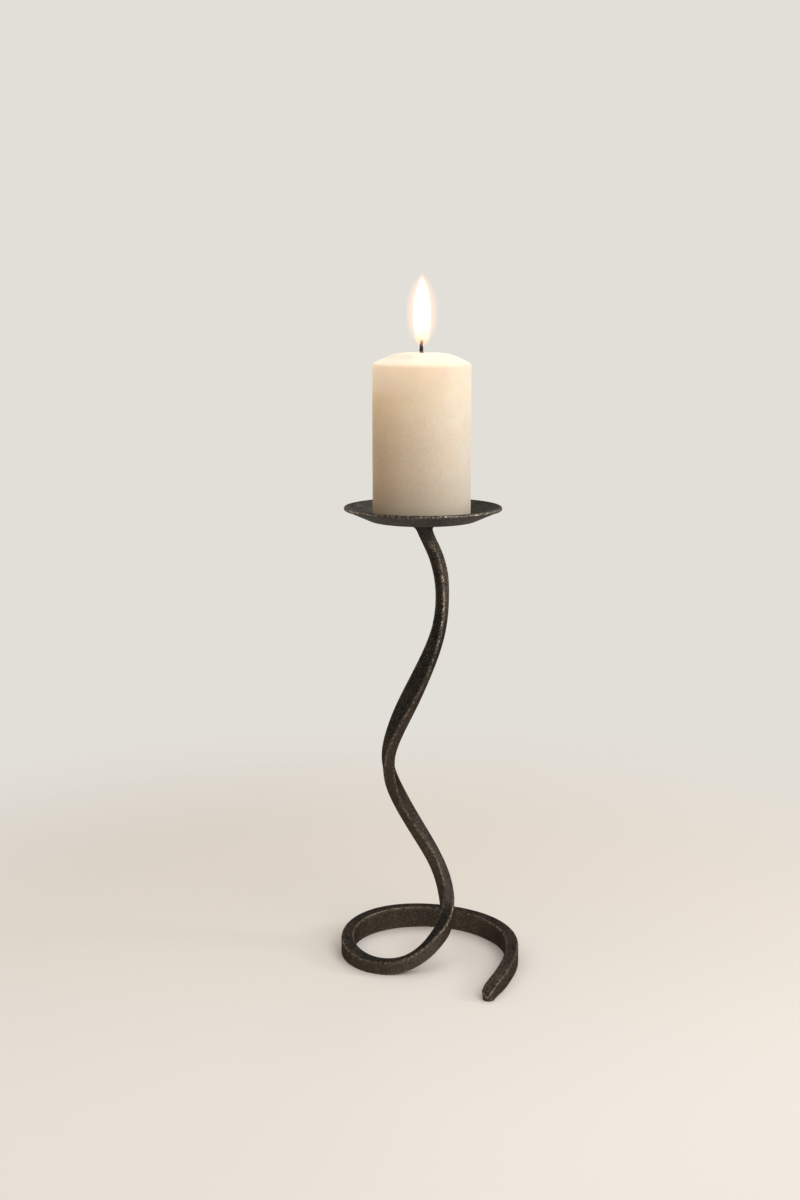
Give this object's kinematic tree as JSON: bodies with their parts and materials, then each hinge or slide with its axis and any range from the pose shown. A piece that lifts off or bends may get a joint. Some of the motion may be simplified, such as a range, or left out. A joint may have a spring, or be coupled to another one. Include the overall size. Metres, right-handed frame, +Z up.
{
  "type": "spiral candle holder",
  "caption": "Forged iron candle holder: a bar lies as a ring foot with an open tail, climbs as a spiral and carries a round drip pan with a spike and a lit pillar candle.",
  "frame": {"origin": "middle of the foot's outline on the table; the axis of the pan stands 4.5 mm to the left of it and 14.5 mm behind it", "axes": "+Z up along the axis of the pan, +X to the right seen from the front, +Y to the back; the tail of the foot points to the front"},
  "size_m": [0.1124, 0.1298, 0.4258],
  "materials": {
    "forged_iron": "hand-forged and blackened, satin, edges worn to a pale bronze",
    "sheet_iron": "blackened sheet, satin with a fine speckle",
    "spike_iron": "blackened, filed bright at the point",
    "wax": "ivory candle wax, soft satin, glowing near the flame",
    "cotton": "braided cotton, charred above the wax",
    "flame": "candle flame, glowing"
  },
  "bodies": {
    "holder": {"stem_bar": "forged_iron", "drip_pan": "sheet_iron", "candle_spike": "spike_iron"},
    "candle": {"pillar_candle": "wax", "wick": "cotton", "flame": "flame"}
  },
  "joints": [
    {"name": "candle_lift", "type": "slide", "parent": "holder", "child": "candle", "axis": [0, 0, 1], "range_m": [0, 0.04]}
  ]
}
